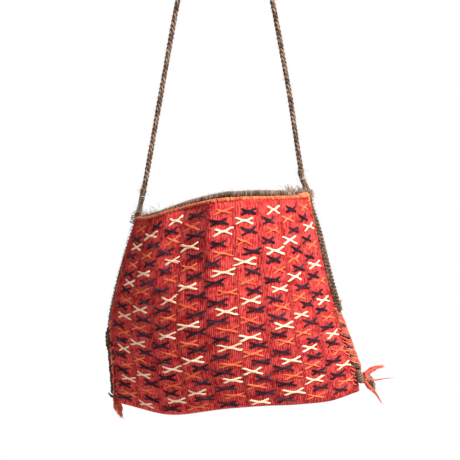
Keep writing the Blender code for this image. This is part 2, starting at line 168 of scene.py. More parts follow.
def addFloor():
    bm = bmesh.new()
    bmesh.ops.create_grid(bm, x_segments=1, y_segments=1, size=view["floorSize"] / 2)
    bmesh.ops.translate(bm, verts=bm.verts[:], vec=(0.0, 0.0, view["floorHeight"]))
    mesh = meshFrom(bm, "floor")
    floor = addObject("floor", mesh)
    pale = bpy.data.materials.new("paleFloor")
    pale.use_nodes = True
    tree = pale.node_tree
    shader = tree.nodes["Principled BSDF"]
    shader.inputs["Base Color"].default_value = view["floorColour"]
    shader.inputs["Roughness"].default_value = view["floorRoughness"]
    shader.inputs["Specular IOR Level"].default_value = view["floorShine"]
    spot = addNode(tree, "TexCoord")
    flat = addNode(tree, "VectorMath", {"operation": "MULTIPLY"},
                   i0=spot.outputs["Object"], i1=(1.0, 1.0, 0.0))
    far = addNode(tree, "VectorMath", {"operation": "LENGTH"}, i0=flat.outputs[0])
    edge = ranged(tree, far.outputs["Value"], view["shadowRadius"] * view["shadowCore"],
                  view["shadowRadius"], view["leastWhite"])
    rays = addNode(tree, "LightPath")
    seen = computed(tree, "MULTIPLY", edge, rays.outputs["Is Camera Ray"])
    white = addNode(tree, "Emission", Color=view["white"], Strength=1.0)
    both = addNode(tree, "MixShader", i0=seen, i1=shader.outputs[0], i2=white.outputs[0])
    tree.links.new(both.outputs[0], tree.nodes["Material Output"].inputs["Surface"])
    mesh.materials.append(pale)


addCamera()
addLamps()
addWorld()
addFloor()
bpy.context.scene.view_settings.view_transform = "Standard"
print("camera, floor and lamps stand")


# Shape of the folded strip, as the frame has it

cloth = {
    "thickness": 0.003,
    "mouthWidth": 0.328,
    "bottomWidth": 0.494,
    "mouthShift": -0.005,
    "bottomShift": 0.018,
    "sideBow": 0.011,
    "sideFlare": 0.009,
    "mouthWrap": math.radians(55.0),
    "bottomWrap": math.radians(31.0),
    "lipHeight": -0.551,
    "foldHeight": -0.9465,
    "lipRises": [-0.033, -0.032, -0.021, -0.009, 0.0, 0.003, 0.005, 0.007, 0.012],
    "foldRises": [-0.001, -0.007, -0.0145, -0.0075, 0.002, 0.005, 0.0045, 0.007, 0.018],
    "rightSways": [0.0, 0.0085, 0.0095, 0.0065, 0.0015, 0.0, 0.0, 0.0, 0.0],
    "leftSways": [-0.0115, -0.0165, -0.013, -0.0045, 0.0015, 0.001, 0.0, 0.0, 0.0],
    "backLipStand": 0.012,
    "seamDepth": 0.046,
    "curlUnder": 0.022,
    "seamLayerGap": 0.0006,
    "mouthCornerGap": 0.006,
    "foldSpread": 0.026,
    "bellySpread": 0.030,
    "mouthSpread": 0.036,
    "rowCrowding": 0.14,
    "creaseDepth": 0.0190,
    "creaseAcross": -0.345,
    "creaseWidths": (0.19, 0.25),   # on its left, and to the sharp ridge on its right
    "creaseRound": 0.010,           # how soft that ridge is
    "creaseStart": 0.45,
    "creaseFull": 0.90,
    "halfWidth": 0.23,       # metres of cloth for one unit across, in the UV map
    "layerLength": 0.43,     # metres of cloth for one unit along, in the UV map
    "step": 0.0004,          # for directions on the cloth
    "seamStep": 0.002,       # for directions along a seam
}


def mix(low, high, share):
    return low + (high - low) * share


def shares(count):
    return np.linspace(0.0, 1.0, count)


def eased(share):
    share = np.clip(share, 0.0, 1.0)
    return share * share * (3.0 - 2.0 * share)


def unit(vectors):
    return vectors / np.maximum(np.linalg.norm(vectors, axis=-1, keepdims=True), 1e-12)


def lengthAlong(points):
    return np.r_[0.0, np.cumsum(np.linalg.norm(np.diff(points, axis=0), axis=1))]


def through(values, across):
    # a smooth line through values that stand evenly from across = -1 to across = 1
    values = np.asarray(values, float)
    last = len(values) - 1
    place = np.clip((np.asarray(across, float) + 1.0) / 2.0 * last, 0.0, last)
    low = np.minimum(place.astype(int), last - 1)
    before, after = values[np.maximum(low - 1, 0)], values[np.minimum(low + 2, last)]
    start, end = values[low], values[low + 1]
    t, first, final = place - low, low == 0, low + 2 > last
    if values.ndim > 1:
        t, first, final = t[..., None], first[..., None], final[..., None]
    leave = (end - before) / np.where(first, 1.0, 2.0)
    arrive = (after - start) / np.where(final, 1.0, 2.0)
    square, cube = t * t, t * t * t
    return (
        start * (2 * cube - 3 * square + 1)
        + leave * (cube - 2 * square + t)
        + end * (3 * square - 2 * cube)
        + arrive * (cube - square)
    )


def creaseDent(across, share):
    # the dent beside the middle of the front: soft on its left, with a ridge on its right
    off = across - cloth["creaseAcross"]
    leftWidth, rightWidth = cloth["creaseWidths"]
    soften = cloth["creaseRound"]
    under = 1.0 - (np.maximum(off, 0.0) / rightWidth) ** 2
    ridge = (under + np.sqrt(under**2 + soften)) / (1.0 + math.sqrt(1.0 + soften))
    dip = np.where(off < 0.0, np.exp(-((off / leftWidth) ** 2)), ridge)
    height = (share - cloth["creaseStart"]) / (cloth["creaseFull"] - cloth["creaseStart"])
    return cloth["creaseDepth"] * dip * eased(height)


def midCloth(across, along):
    # the cloth's middle: across -1 to 1 between the seams, along -1 back lip, 0 fold, 1 front lip
    across, along = np.broadcast_arrays(np.asarray(across, float), np.asarray(along, float))
    up = np.abs(along)
    swell = np.maximum(0.0, 1.0 - across**2) ** 2
    wrap = mix(cloth["bottomWrap"], cloth["mouthWrap"], up)
    middling = 4.0 * up * (1.0 - up)
    half = mix(cloth["bottomWidth"], cloth["mouthWidth"], up) / 2.0 + cloth["sideFlare"] * middling
    turnedBy = wrap * across
    centre = mix(cloth["bottomShift"], cloth["mouthShift"], up) - cloth["sideBow"] * middling
    height = 2.0 * up - 1.0
    sway = np.where(across > 0.0, through(cloth["rightSways"], height), through(cloth["leftSways"], height))
    aside = across * np.abs(across) * sway
    x = centre + half * np.sin(turnedBy) / np.sin(wrap) + aside * np.cos(turnedBy)
    bulge = half * (np.cos(turnedBy) - np.cos(wrap)) / np.sin(wrap) - aside * np.sin(turnedBy)
    y = cloth["seamDepth"] + cloth["curlUnder"] * np.maximum(0.0, 1.0 - up) ** 2.5 - bulge
    radius = (cloth["thickness"] + cloth["seamLayerGap"] + cloth["foldSpread"] * swell) / 2.0
    low = cloth["foldHeight"] + through(cloth["foldRises"], across) + cloth["thickness"] / 2.0
    top = cloth["lipHeight"] + through(cloth["lipRises"], across)
    top = top + np.where(along < 0.0, cloth["backLipStand"] * (1.0 - across**4), 0.0)
    straight = top - low - radius
    turned = math.pi / 2.0 * radius / (math.pi / 2.0 * radius + straight)
    angle = math.pi / 2.0 * np.minimum(up / turned, 1.0)
    share = np.clip((up - turned) / (1.0 - turned), 0.0, None)
    belly = cloth["bellySpread"] * 4.0 * share * (1.0 - share)
    belly = belly + (cloth["mouthSpread"] - cloth["foldSpread"]) * share
    apart = radius * np.sin(angle) + (belly * swell + cloth["mouthCornerGap"] * share**2) / 2.0
    z = low + radius * (1.0 - np.cos(angle)) + straight * mix(share, share**2, cloth["rowCrowding"])
    y = y + np.where(along > 0.0, creaseDent(across, share), 0.0)
    forward = np.where(along > 0.0, apart, -apart)
    return np.stack([x + forward * np.sin(turnedBy), y - forward * np.cos(turnedBy), z], axis=-1)


def clothFrame(across, along):
    # a point of the cloth's middle and its directions across, along and outward
    step = cloth["step"]
    side = unit(midCloth(across + step, along) - midCloth(across - step, along))
    run = unit(midCloth(across, along + step) - midCloth(across, along - step))
    return midCloth(across, along), side, run, unit(np.cross(side, run))


def clothPoint(across, along, height):
    place, _, _, outward = clothFrame(across, along)
    return place + outward * np.asarray(height)[..., None]


def seamFrame(side, up):
    # the seam of one side: its middle, outward, upward and normal directions, half thickness
    step = cloth["seamStep"]
    up = np.asarray(up, float)
    front, across, _, _ = clothFrame(side, up)
    back = midCloth(side, -up)
    middle = (front + back) / 2.0
    higher = (midCloth(side, up + step) + midCloth(side, -up - step)) / 2.0
    rise = unit(higher - middle)
    normal = unit(np.cross(rise, across * side))
    inside = np.linalg.norm(front - back, axis=-1) / 2.0 + cloth["thickness"] / 2.0
    return middle, np.cross(normal, rise), rise, normal, inside


# Wool finishes

finishes = {   # colour, darker and lighter companions, sheen
    "redWool": ((0.80, 0.042, 0.046), (0.34, 0.008, 0.012), (0.94, 0.115, 0.100), 0.05),
    "creamWool": ((0.99, 0.735, 0.52), (0.90, 0.58, 0.39), (1.0, 0.85, 0.66), 0.05),
    "darkWool": ((0.042, 0.012, 0.022), (0.018, 0.006, 0.010), (0.105, 0.038, 0.058), 0.04),
    "orangeWool": ((0.86, 0.180, 0.075), (0.66, 0.085, 0.040), (0.93, 0.32, 0.15), 0.08),
    "lipWool": ((0.85, 0.148, 0.066), (0.66, 0.078, 0.040), (0.93, 0.28, 0.135), 0.08),
    "coralWool": ((0.86, 0.145, 0.090), (0.60, 0.060, 0.042), (0.94, 0.30, 0.20), 0.06),
    "webWool": ((0.44, 0.25, 0.18), (0.24, 0.125, 0.09), (0.66, 0.44, 0.33), 0.08),
    "brownWool": ((0.130, 0.078, 0.056), (0.045, 0.026, 0.020), (0.27, 0.185, 0.135), 0.15),
    "greyBrownWool": ((0.195, 0.132, 0.092), (0.075, 0.047, 0.033), (0.39, 0.29, 0.21), 0.15),
    "ropeWool": ((0.190, 0.115, 0.080), (0.060, 0.034, 0.024), (0.38, 0.265, 0.190), 0.15),
    "braidWool": ((0.200, 0.112, 0.078), (0.060, 0.032, 0.024), (0.40, 0.27, 0.195), 0.08),
    "fuzzWool": ((0.40, 0.29, 0.215), (0.22, 0.15, 0.11), (0.60, 0.47, 0.36), 0.20),
    "paleThread": ((0.74, 0.62, 0.46), (0.55, 0.42, 0.30), (0.82, 0.73, 0.58), 0.10),
}
dry = {"Roughness": 0.88, "Specular IOR Level": 0.07, "Sheen Roughness": 0.5}
spun = {   # noises are scale, detail and roughness
    "patches": (60.0, 3.0, 0.6),
    "specks": (420.0, 4.0, 0.7),
    "ownTone": 0.22,         # how far whole yarns differ
    "stops": (0.34, 0.5, 0.66),
    "plies": 2.0,
    "grooveWidth": 0.22,     # of a ply
    # share of the colour left in the grooves between plies, as painted shade
    "grooveShade": 0.55,
    "grooveHeight": 0.8,
    "bump": (0.55, 0.0006),
    # painted shade: the front lip turns towards a dark brown on its left
    "lipPaintedShade": {"start": -0.09, "end": 0.03, "colour": (0.36, 0.085, 0.045, 1.0), "share": 0.75},
}
woven = {
    "pick": 0.0010,
    "pickGap": 0.16,         # of a pick
    "pickTonesAndGapShade": (1.0, 0.82, 0.35),   # two tones of picks that differ at random, and the painted shade in the gap between picks
    "pickShare": 0.45,
    "bands": ((11.0, 55.0, 1.0), 3.0, 0.65),
    "bandShare": 0.45,
    "streaks": ((310.0, 75.0, 1.0), 2.0, 0.6),
    "specks": (700.0, 4.0, 0.7),
    "speckShare": 0.45,
    "stops": (0.74, 0.93, 1.12),
    "ribWidth": 0.62,
    # share of the colour left in the valleys between ribs, as painted shade
    "ribValleyShade": 0.30,
    "shadedChannels": (-0.2208, 0.04907),   # first place and pitch of the bands between columns that painted shade darkens
    "channelWidths": (0.06, 0.15),
    # share of the colour left in those bands, as painted shade
    "channelShade": 0.74,
    "bump": (0.6, 0.0007),
}


def noise(tree, vector, scale, detail, roughness):
    return addNode(tree, "TexNoise", Vector=vector, Scale=scale,
                   Detail=detail, Roughness=roughness).outputs["Fac"]


def blended(tree, kind, share, first, second):
    return addNode(tree, "Mix", {"data_type": "RGBA", "blend_type": kind},
                   i0=share, i6=first, i7=second).outputs[2]


def shadeRamp(tree, value, name, stops):
    # from a finish's darker companion to its lighter one
    base, dark, light, _ = finishes[name]
    ramp = addNode(tree, "ValToRGB", Fac=value)
    band = ramp.color_ramp
    band.elements.new(0.5)
    for item, place, colour in zip(band.elements, stops, (dark, base, light)):
        item.position = place
        item.color = (*colour, 1.0)
    return ramp.outputs["Color"]


def startWool(name):
    material = bpy.data.materials.new(name)
    material.use_nodes = True
    tree = material.node_tree
    shader = tree.nodes["Principled BSDF"]
    for key, value in {**dry, "Sheen Weight": finishes[name][-1]}.items():
        shader.inputs[key].default_value = value
    return material, tree, addNode(tree, "TexCoord").outputs


def finishWool(material, colour, height, strength, distance):
    tree = material.node_tree
    shader = tree.nodes["Principled BSDF"]
    tree.links.new(colour, shader.inputs["Base Color"])
    bump = addNode(tree, "Bump", Strength=strength, Distance=distance, Height=height)
    tree.links.new(bump.outputs[0], shader.inputs["Normal"])
    return material


def yarnWool(name, plyTurns, paintedShade=None):
    # spun yarn: its plies run round it, with painted shade as dark slanting lines in the grooves between
    # them, and specks of other tones
    material, tree, spot = startWool(name)
    specks = noise(tree, spot["Object"], *spun["specks"])
    tone = computed(tree, "ADD", noise(tree, spot["Object"], *spun["patches"]), specks)
    own = addNode(tree, "NewGeometry").outputs["Random Per Island"]
    own = computed(tree, "MULTIPLY_ADD", own, spun["ownTone"], -spun["ownTone"] / 2.0)
    tone = computed(tree, "MULTIPLY_ADD", tone, 0.5, own)
    colour = shadeRamp(tree, tone, name, spun["stops"])
    if paintedShade:   # painted shade: the lip's colour turns towards a dark brown between two places along X, most on the left
        place = addNode(tree, "SeparateXYZ", Vector=spot["Object"]).outputs["X"]
        near = ranged(tree, place, paintedShade["start"], paintedShade["end"], paintedShade["share"], 0.0)
        colour = blended(tree, "MIX", near, colour, paintedShade["colour"])
    uv = addNode(tree, "SeparateXYZ", Vector=spot["UV"]).outputs
    slant = computed(tree, "MULTIPLY", uv["X"], plyTurns)
    slant = computed(tree, "MULTIPLY_ADD", uv["Y"], spun["plies"], slant)
    cycle = computed(tree, "PINGPONG", slant, 0.5)
    # painted shade in the grooves between the plies
    groove = ranged(tree, cycle, 0.0, spun["grooveWidth"], spun["grooveShade"])
    height = computed(tree, "MULTIPLY_ADD", groove, spun["grooveHeight"], specks)
    return finishWool(material, blended(tree, "MULTIPLY", 1.0, colour, groove), height, *spun["bump"])


def wovenWool(name, ribPitch, shadedChannels=None):
    # weft-faced cloth: packed picks cross upright ribs, and dye lots change the colour in bands; painted
    # shade darkens the valleys between ribs, the gaps between picks and, on the front, bands between the
    # motif columns
    material, tree, spot = startWool(name)
    uv = addNode(tree, "SeparateXYZ", Vector=spot["UV"]).outputs
    turned = addNode(tree, "CombineXYZ", X=uv["Y"], Y=uv["X"]).outputs[0]
    # the gap between picks is painted shade
    one, other, gap = [(tone, tone, tone, 1.0) for tone in woven["pickTonesAndGapShade"]]
    picks = addNode(tree, "TexBrick", {"offset": 0.5, "offset_frequency": 2},
                    Vector=turned, Scale=1.0, Mortar_Size=woven["pick"] * woven["pickGap"],
                    Mortar_Smooth=1.0, Brick_Width=woven["pick"], Row_Height=ribPitch,
                    Color1=one, Color2=other, Mortar=gap).outputs["Color"]
    stretched = []
    for scale, detail, roughness in (woven["bands"], woven["streaks"]):
        spread = addNode(tree, "Mapping", Vector=spot["UV"], Scale=scale).outputs[0]
        stretched.append(noise(tree, spread, 1.0, detail, roughness))
    specks = noise(tree, spot["Object"], *woven["specks"])
    tone = computed(tree, "MULTIPLY_ADD", stretched[0], woven["bandShare"], stretched[1])
    tone = computed(tree, "MULTIPLY_ADD", specks, woven["speckShare"], tone)
    colour = shadeRamp(tree, tone, name, woven["stops"])
    ribs = addNode(tree, "TexWave", {"wave_type": "BANDS", "bands_direction": "X"},
                   Vector=spot["UV"], Scale=math.pi / 10.0 / ribPitch, Distortion=0.0).outputs["Fac"]
    # painted shade in the valleys between the ribs
    valleyShade = ranged(tree, ribs, 0.0, woven["ribWidth"], woven["ribValleyShade"], kind="LINEAR")
    colour = blended(tree, "MULTIPLY", 1.0, colour, valleyShade)
    # painted shade in bands between the motif columns
    if shadedChannels:
        start, pitch = shadedChannels
        off = computed(tree, "MULTIPLY_ADD", uv["X"], 1.0 / pitch, -start / pitch)
        off = computed(tree, "PINGPONG", off, 0.5)
        inside = ranged(tree, off, *woven["channelWidths"], woven["channelShade"])
        colour = blended(tree, "MULTIPLY", 1.0, colour, inside)
    colour = blended(tree, "MULTIPLY", woven["pickShare"], colour, picks)
    height = computed(tree, "MULTIPLY_ADD", picks, 1.0, specks)
    return finishWool(material, colour, height, *woven["bump"])


wools = {   # finish, and turns of the plies along a yarn
    "cream": yarnWool("creamWool", 16.0),
    "dark": yarnWool("darkWool", 16.0),
    "orange": yarnWool("orangeWool", 16.0),
    "lip": yarnWool("lipWool", 9.0, paintedShade=spun["lipPaintedShade"]),
    "coral": yarnWool("coralWool", 12.0),
    "web": yarnWool("webWool", 12.0),
    "brown": yarnWool("brownWool", 12.0),
    "grey": yarnWool("greyBrownWool", 9.0),
    "rope": yarnWool("ropeWool", 420.0),
    "braid": yarnWool("braidWool", 300.0),
    "fuzz": yarnWool("fuzzWool", 8.0),
    "pale": yarnWool("paleThread", 8.0),
}
print("wools are dyed")


# Yarns, the tubes that most of the bag is made of

hair = {
    "radius": 0.00011,
    "taper": (1.0, 0.8, 0.35),
    "lengths": (0.4, 1.3),   # of the length that a piece asks for
    "stray": 0.35,
    "bend": 0.35,
    "droop": 0.25,
}


def addPiece(name, mesh, material, nodes=()):
    piece = addObject(name, mesh)
    mesh.materials.clear()
    mesh.materials.append(material)
    mesh.shade_smooth()
    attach(piece, "root")
    if nodes:
        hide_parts(*nodes)
    return piece


def yarnMesh(name, routes, radii, faces=6):
    # round yarns along routes of points, each with its own radius at every point
    curve = bpy.data.curves.new(name, "CURVE")
    curve.dimensions = "3D"
    curve.bevel_depth = 1.0
    curve.bevel_resolution = faces // 2 - 2
    curve.use_fill_caps = True
    for route, radius in zip(routes, radii):
        count = len(route)
        spline = curve.splines.new("POLY")
        spline.points.add(count - 1)
        spline.points.foreach_set("co", np.c_[route, np.ones(count)].astype(np.float32).ravel())
        spline.points.foreach_set("radius", np.broadcast_to(radius, count).astype(np.float32))
    holder = addObject(name, curve)
    depsgraph = bpy.context.evaluated_depsgraph_get()
    mesh = bpy.data.meshes.new_from_object(holder.evaluated_get(depsgraph))
    bpy.data.objects.remove(holder)
    bpy.data.curves.remove(curve)
    bm = bmesh.new()
    bm.from_mesh(mesh)
    bmesh.ops.remove_doubles(bm, verts=bm.verts[:], dist=1e-6)
    bm.to_mesh(mesh)
    bm.free()
    return mesh


def addYarns(name, routes, radii, wool, nodes=(), faces=6):
    return addPiece(name, yarnMesh(name, routes, radii, faces), wools[wool], nodes)


def addHairs(name, roots, ways, length):
    # loose fibres that leave the wool and bend over
    count = len(roots)
    long = length * chance.uniform(*hair["lengths"], count)[:, None]
    bend = unit(chance.normal(size=(count, 3))) * hair["bend"] - np.array([0.0, 0.0, hair["droop"]])
    ways = unit(ways + chance.normal(scale=hair["stray"], size=(count, 3)))
    middle = roots + ways * long * 0.5
    ends = middle + unit(ways + bend) * long * 0.5
    routes = np.stack([roots, middle, ends], axis=1)
    return addYarns(name, routes, [np.array(hair["taper"]) * hair["radius"]] * count, "fuzz", faces=4)


def circling(first, second, turn):
    # the first direction, turned towards the second
    return first * np.cos(turn)[:, None] + second * np.sin(turn)[:, None]


def tapered(t, share, power):
    # 1 in the middle of a yarn and less at both ends
    return 1.0 - share * np.abs(2.0 * t - 1.0) ** power


def twistedPair(name, line, outward, normal, spin, radius, apart):
    # two yarns twisted round each other, spin radians further at each point
    routes = []
    for k in range(2):
        turn = np.arange(len(line)) * spin + math.pi * k
        routes.append(line + circling(outward, normal, turn) * (radius * apart)[:, None])
    addYarns(name, routes, [radius] * 2, "brown")


# The woven strip: a red front that turns under at the fold, and a grey-brown back

weave = {
    "ribs": {"front": 152, "back": 140},
    "rows": {"front": 48, "back": 34},
    "ribDepth": 0.00050,
    "rimSlope": 60.0,        # how fast the ribs fade at the seams
    "redEnds": -0.045,       # the red runs this far up the back, as a share of a layer
    "wander": 0.002,
    "lumpHeight": 0.0009,
    "rowEase": 1.3,
}


def clothLumps(across, along):
    # the gentle unevenness of hand-woven cloth
    waves = np.sin(across * 9.0 + along * 6.0) + np.sin(across * 17.0 - along * 11.0 + 1.3)
    waves = waves + 0.6 * np.sin(across * 5.0 + along * 23.0 + 2.1)
    return weave["lumpHeight"] * waves / 2.6 * np.maximum(0.0, 1.0 - across**2)


def clothPanel(layer, end, wool, shadedChannels=None):
    # a ribbed slab is laid out flat, four vertices a rib, then folded
    ribs = weave["ribs"][layer]
    bm = bmesh.new()
    bmesh.ops.create_grid(bm, x_segments=ribs * 4, y_segments=weave["rows"][layer], size=1.0)
    bmesh.ops.solidify(bm, geom=bm.faces[:], thickness=1.0)
    bmesh.ops.recalc_face_normals(bm, faces=bm.faces[:])
    mesh = meshFrom(bm, layer + "Cloth")
    flat = getPoints(mesh)
    outer = np.where(flat[:, 2] > flat[:, 2].mean(), 1.0, -1.0)
    across = flat[:, 0]
    share = (flat[:, 1] + 1.0) / 2.0
    along = mix(weave["redEnds"], end, share ** weave["rowEase"])
    rib = np.cos(across * ribs * math.pi) * weave["ribDepth"]
    rim = np.minimum(1.0, (1.0 - np.abs(across)) * weave["rimSlope"])
    height = outer * (cloth["thickness"] / 2.0 + rib * rim) + clothLumps(across, along)
    wavy = weave["wander"] * (1.0 - across**2) * np.sin(along * 19.0 + across * 7.0)
    setPoints(mesh, clothPoint(across + wavy, along, height))
    corners = np.zeros(len(mesh.loops), np.int32)
    mesh.loops.foreach_get("vertex_index", corners)
    uv = np.c_[across * cloth["halfWidth"], along * cloth["layerLength"]][corners]
    mesh.uv_layers.new(name="UVMap").data.foreach_set("uv", uv.astype(np.float32).ravel())
    mesh.update()
    material = wovenWool(wool, 2.0 * cloth["halfWidth"] / ribs, shadedChannels)
    return addPiece(layer + "Cloth", mesh, material, ["bag_cloth"])


frontCloth = clothPanel("front", 1.0, "redWool", woven["shadedChannels"])
backCloth = clothPanel("back", -1.0, "greyBrownWool")
print("cloth is woven and folded")


# Crossed motifs, laid in over the ribs

motifs = {
    "columns": 9,
    "rows": 22,
    "sideMargin": 0.04,
    "start": 0.032,
    "end": 0.970,
    "width": 0.70,           # share of a column
    "widths": (0.84, 1.10),  # least and most of that
    "height": 0.62,          # share of a row
    "heights": (0.84, 1.20),
    "yarn": {"cream": 0.00108, "dark": 0.00150, "orange": 0.00098},
    "thinning": {"cream": -0.12, "dark": 0.50, "orange": 0.40},
    "colours": ["cream", "dark", "orange", "dark"],
    "creamColumn": 5,        # the column that has a cream cross in its lowest row
    "zigzag": 0.12,
    "stray": (0.045, 0.06),  # shares of a column and of a row
    "tilt": 0.06,
    "stairs": (0.06, 0.15),
    "bows": (0.10, 0.07),
    "wobble": 0.05,
    "reaches": (0.90, 1.08),
    "lift": 0.55,            # of a yarn's radius, over the cloth
    "stations": 11,
}


def crossRoutes(centre, size, radius, tilt):
    # two arms of two yarns each: flat at the tips and where they cross, steep between
    t = np.linspace(-1.0, 1.0, motifs["stations"])
    single, double = motifs["bows"]
    routes = []
    for arm, over in ((1.0, 0.0), (-1.0, 1.0)):
        stair = t - chance.uniform(*motifs["stairs"]) * np.sin(2.0 * math.pi * t)
        bow = chance.normal(scale=single) * (1.0 - t**2)
        bow = bow + chance.normal(scale=double) * np.sin(math.pi * t)
        reach = chance.uniform(*motifs["reaches"])
        for strand in (-1.0, 1.0):
            wobble = chance.normal(scale=motifs["wobble"], size=2)
            across = centre[0] + size[0] * reach * (t * (1.0 + wobble[0]) + 0.03 * wobble[1])
            spread = strand * radius * (0.9 - 0.3 * t**2) / cloth["layerLength"]
            along = centre[1] + size[1] * (arm * stair * (1.0 + wobble[1]) + bow + tilt * t) + spread
            lift = over * radius * 0.9 * np.exp(-((t / 0.22) ** 2))
            sink = radius * 1.1 * np.abs(t) ** 8
            height = cloth["thickness"] / 2.0 + radius * motifs["lift"] + lift - sink
            height = height + clothLumps(across, along)
            routes.append(clothPoint(across, along, height))
    return routes


def makeMotifs():
    edge = 1.0 - motifs["sideMargin"]
    columnPitch = 2.0 * edge / motifs["columns"]
    rowPitch = (motifs["end"] - motifs["start"]) / motifs["rows"]
    routes, radii = [{"cream": [], "dark": [], "orange": []} for _ in range(2)]
    ends = np.abs(np.linspace(-1.0, 1.0, motifs["stations"])) ** 2.5
    for column in range(motifs["columns"]):
        for row in range(motifs["rows"]):
            turn = row - column + motifs["creamColumn"]
            colour = motifs["colours"][turn % 4]
            shift = motifs["zigzag"] * (1.0 if (row + column) % 2 else -1.0) * (-1.0) ** column
            stray = chance.normal(scale=motifs["stray"], size=2)
            across = -edge + columnPitch * (column + 0.5 + shift + stray[0])
            along = motifs["start"] + rowPitch * (row + 0.5 + stray[1])
            size = (
                columnPitch * motifs["width"] / 2.0 * chance.uniform(*motifs["widths"]),
                rowPitch * motifs["height"] / 2.0 * chance.uniform(*motifs["heights"]),
            )
            radius = motifs["yarn"][colour]
            tilt = chance.normal(scale=motifs["tilt"])
            made = crossRoutes((across, along), size, radius, tilt)
            routes[colour] += made
            taper = radius * (1.0 - motifs["thinning"][colour] * ends)
            radii[colour] += [taper * chance.uniform(0.90, 1.10) for _ in made]
    return [
        addYarns(colour + "Crosses", routes[colour], radii[colour], colour)
        for colour in routes
    ]


crosses = makeMotifs()
print("crosses are laid in")


# Overcast lips of the mouth

lips = {
    "turns": {"front": 176, "back": 150},
    "reach": 0.98,
    "grip": {"front": 0.0046, "back": 0.0080},
    "crown": {"front": 0.0030, "back": 0.0036},
    "yarn": 0.00125,
    "slant": 0.020,
    "stations": [0.0, 0.2, 0.38, 0.5, 0.62, 0.8, 1.0],    # of one turn over the edge,
    "rises": [-1.0, -0.5, 0.1, 0.36, 0.1, -0.5, -1.0],    # how high it lies there
    "stands": [0.55, 1.0, 0.85, 0.0, -0.85, -1.0, -0.55],   # and how far outward
    "coilStart": 0.80,       # the front lip swells into a coil from here to the right corner
    "coilEase": 0.08,
    "coilRise": 0.0036,
    "coilStand": 0.0018,
    "coilYarn": 0.35,
    "hairs": 520,
    "hairLength": 0.0062,
    "stitches": 9,
    "stitchTop": 0.990,
    "stitchPitch": 0.0052,
    "stitchReach": (0.955, 0.999),
    "stitchYarn": 0.0015,
    "stitchArch": 0.0013,
}


def overcastLip(layer, side, wool, coil=0.0):
    # each turn starts low on the outside, goes over the edge and down the inside
    t = shares(9)
    p = np.interp(t, lips["stations"], lips["rises"])
    q = np.interp(t, lips["stations"], lips["stands"])
    routes, radii = [], []
    turns = lips["turns"][layer]
    for turn in range(turns):
        middle = mix(-lips["reach"], lips["reach"], (turn + 0.5) / turns)
        swollen = float(eased((middle - lips["coilStart"]) / lips["coilEase"])) * coil
        across = middle + lips["slant"] * chance.uniform(0.3, 1.7) * (0.5 - t) + chance.normal(scale=0.0012)
        place, _, run, outward = clothFrame(across, np.full_like(t, side))
        own = lips["yarn"] * chance.uniform(0.80, 1.22) * (1.0 + lips["coilYarn"] * swollen)
        grip = lips["grip"][layer] * chance.uniform(0.68, 1.25)
        crown = (lips["crown"][layer] + lips["coilRise"] * swollen) * chance.uniform(0.85, 1.15)
        rise = np.where(p > 0.0, p / max(lips["rises"]) * (crown - own), p * grip)
        stand = (cloth["thickness"] / 2.0 + own * 0.8 + lips["coilStand"] * swollen) * q
        routes.append(place + run * side * rise[:, None] + outward * stand[:, None])
        radii.append(own * tapered(t, 0.3, 6))
    return addYarns(layer + "Lip", routes, radii, wool, [layer + "_lip_selvedge"])


def stitchRoute(across, along, t, arch, early):
    # a stitch that arches over the cloth and comes down before its end
    lift = cloth["thickness"] / 2.0 + arch * np.sin(math.pi * np.clip(t * early, 0.0, 1.0))
    return clothPoint(across, along, lift)


def cornerStitches():
    # the lip's wool runs on down the right edge of the front in a few short stitches
    routes, radii = [], []
    t = shares(6)
    for k in range(lips["stitches"]):
        along = lips["stitchTop"] - lips["stitchPitch"] * k + 0.006 * (0.5 - t)
        along = along + chance.normal(scale=0.0008)
        across = mix(*lips["stitchReach"], t) + chance.normal(scale=0.004)
        routes.append(stitchRoute(across, along, t, lips["stitchArch"], 1.1))
        radii.append(lips["stitchYarn"] * chance.uniform(0.8, 1.15) * tapered(t, 0.35, 3))
    addYarns("cornerStitches", routes, radii, "lip")


def lipHairs():
    across = chance.uniform(-0.97, 0.97, lips["hairs"])
    place, side, run, outward = clothFrame(across, np.full_like(across, -1.0))
    leaning = chance.normal(size=(len(across), 1)) * 0.7
    ways = unit(-run + outward * leaning + side * chance.normal(size=(len(across), 1)) * 0.5)
    addHairs("backLipHairs", place + ways * lips["crown"]["back"] * 0.6, ways, lips["hairLength"])


frontLip = overcastLip("front", 1.0, "lip", coil=1.0)
backLip = overcastLip("back", -1.0, "grey")
cornerStitches()
lipHairs()
print("lips are overcast")


# Plaited cords down the sides

braid = {
    "diameter": 0.012,
    "lowest": 0.4505,
    "spacing": 0.0015,
    "turn": 0.021,           # length of one full plait
    "sway": 0.0040,
    "weaveDepth": 0.0020,
    "strands": 3,
    "yarnsAStrand": 3,
    "yarn": 0.00140,
    "yarnTurn": 0.013,
    "yarnReach": 1.12,       # of a yarn's radius, from the middle of its strand
    "forward": {"right": 0.0078, "left": -0.0020},   # on the right it overlaps the front's edge
    "outward": {"right": 0.0032, "left": 0.0060},
    "facing": {"right": 0.85, "left": 0.0},          # radians that its flat side is turned to the front
    "topWidth": 0.50,
    "topLength": 0.20,       # share of a layer along which it narrows to that
    "hairs": 1100,
    "hairLength": 0.0045,
    "seamYarn": 0.0024,
    "seamShift": 0.0012,
}


